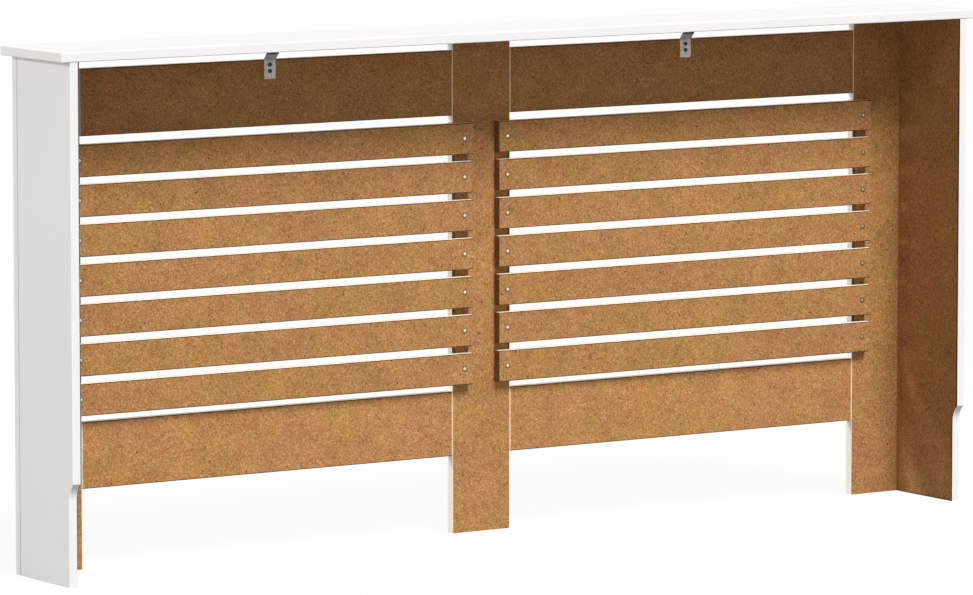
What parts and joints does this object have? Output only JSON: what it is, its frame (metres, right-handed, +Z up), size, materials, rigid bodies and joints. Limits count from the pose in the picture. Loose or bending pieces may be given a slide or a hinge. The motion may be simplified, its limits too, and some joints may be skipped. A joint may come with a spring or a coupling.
{
  "type": "radiator cover cabinet",
  "caption": "Low, shallow slatted cabinet, open at the back, that stands over a wall radiator: front frame with horizontal slats, end panels notched for the skirting board, and a shelf top.",
  "frame": {"origin": "on the floor, in the middle of the outline of the shelf top", "axes": "+X is the right-hand end as seen from the room, +Y points to the wall, +Z is up"},
  "size_m": [1.72, 0.19, 0.815],
  "materials": {
    "white_film_board": "matt white film on the face and edges, raw brown fibreboard on the hidden side",
    "raw_back_board": "raw brown fibreboard back and cut ends, matt white film on the front and the long edges",
    "bracket_steel": "dull zinc-plated steel strip",
    "bright_screws": "bright zinc-plated steel",
    "dark_screws": "blackened steel, slightly glossy",
    "beech_dowels": "plain unfinished beech"
  },
  "bodies": {
    "root": {"bottom_rail_left": "raw_back_board", "bottom_rail_right": "raw_back_board", "bracket_left": "bracket_steel", "bracket_right": "bracket_steel", "bracket_screws_left": "dark_screws", "bracket_screws_right": "dark_screws", "centre_post": "raw_back_board", "rail_dowels": "beech_dowels", "side_dowels": "beech_dowels", "side_panel_left": "white_film_board", "side_panel_right": "white_film_board", "slat_left_1": "raw_back_board", "slat_left_2": "raw_back_board", "slat_left_3": "raw_back_board", "slat_left_4": "raw_back_board", "slat_left_5": "raw_back_board", "slat_left_6": "raw_back_board", "slat_left_7": "raw_back_board", "slat_right_1": "raw_back_board", "slat_right_2": "raw_back_board", "slat_right_3": "raw_back_board", "slat_right_4": "raw_back_board", "slat_right_5": "raw_back_board", "slat_right_6": "raw_back_board", "slat_right_7": "raw_back_board", "slat_screws_left": "bright_screws", "slat_screws_right": "bright_screws", "stile_left": "raw_back_board", "stile_right": "raw_back_board", "top_dowels": "beech_dowels", "top_panel": "white_film_board", "top_rail_left": "raw_back_board", "top_rail_right": "raw_back_board"}
  },
  "joints": []
}
